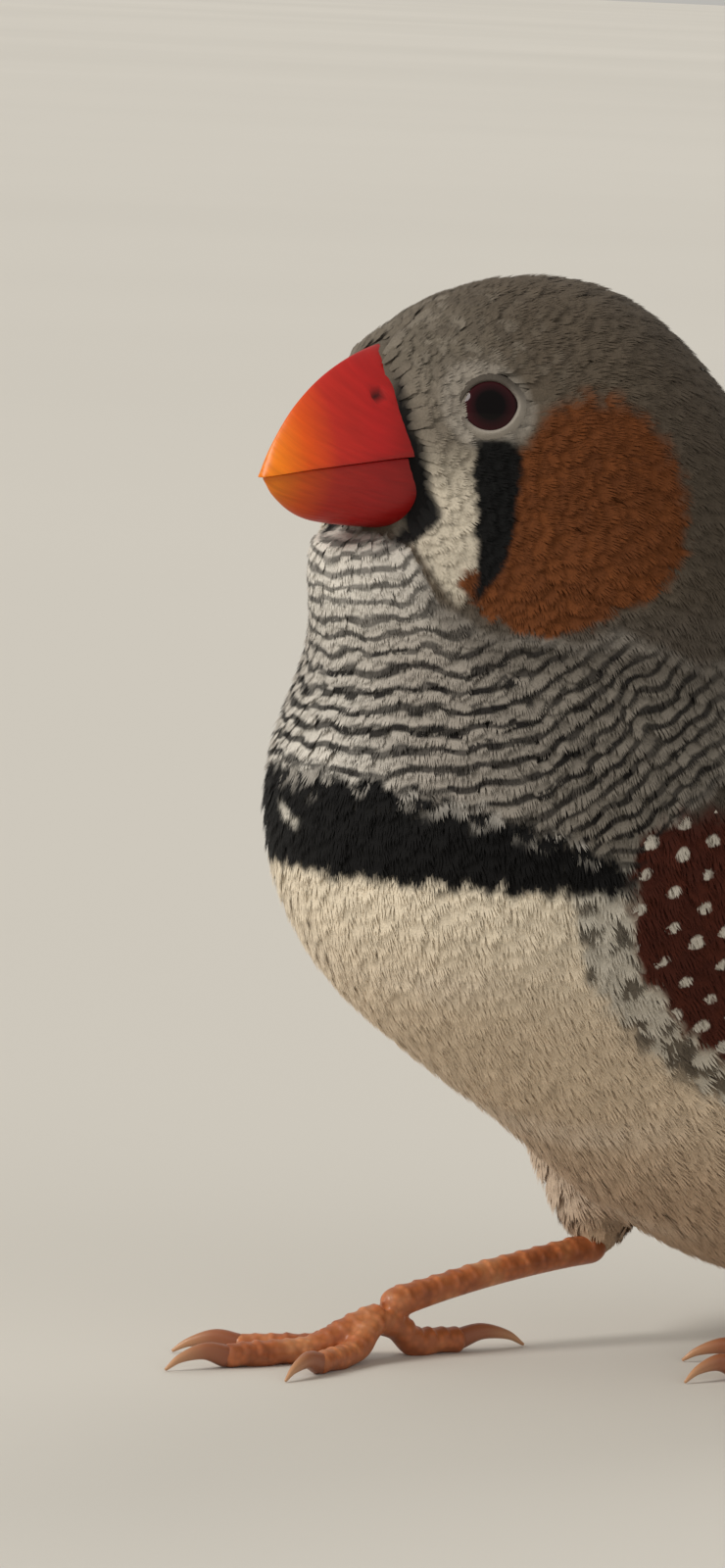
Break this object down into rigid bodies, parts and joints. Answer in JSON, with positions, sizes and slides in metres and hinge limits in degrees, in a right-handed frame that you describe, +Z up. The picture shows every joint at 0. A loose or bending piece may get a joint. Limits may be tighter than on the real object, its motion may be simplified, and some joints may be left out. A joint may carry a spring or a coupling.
{
  "type": "zebra finch, still life-size model",
  "caption": "Life-size male zebra finch standing low on both feet, head turned a little to its left, as a still museum model.",
  "frame": {"origin": "middle of the underside of the bird's box, on the floor that the feet stand on", "axes": "+Z up, the bird faces -Y, its left side is +X, its tail points along +Y"},
  "size_m": [0.0314, 0.0986, 0.0577],
  "materials": {
    "plumage_head": "soft grey feathers",
    "plumage_body": "soft feathers, barred neck, black band, buff belly",
    "plumage_wing": "grey-brown flight feathers",
    "plumage_tail": "black-brown tail feathers",
    "bill": "satin red horn",
    "eye": "wet, very dark red",
    "leg": "orange scaled skin",
    "claw": "brown horn"
  },
  "bodies": {
    "root": {"head": "plumage_head", "neck": "plumage_body", "torso": "plumage_body", "tail": "plumage_tail", "eye_left": "eye", "eye_right": "eye", "bill_upper": "bill", "bill_lower": "bill", "wing_left": "plumage_wing", "wing_right": "plumage_wing", "thigh_left": "plumage_body", "thigh_right": "plumage_body", "tarsus_left": "leg", "tarsus_right": "leg", "foot_left": "leg", "foot_right": "leg", "claw_left_inner": "claw", "claw_left_middle": "claw", "claw_left_outer": "claw", "claw_left_hind": "claw", "claw_right_inner": "claw", "claw_right_middle": "claw", "claw_right_outer": "claw", "claw_right_hind": "claw"}
  },
  "joints": []
}
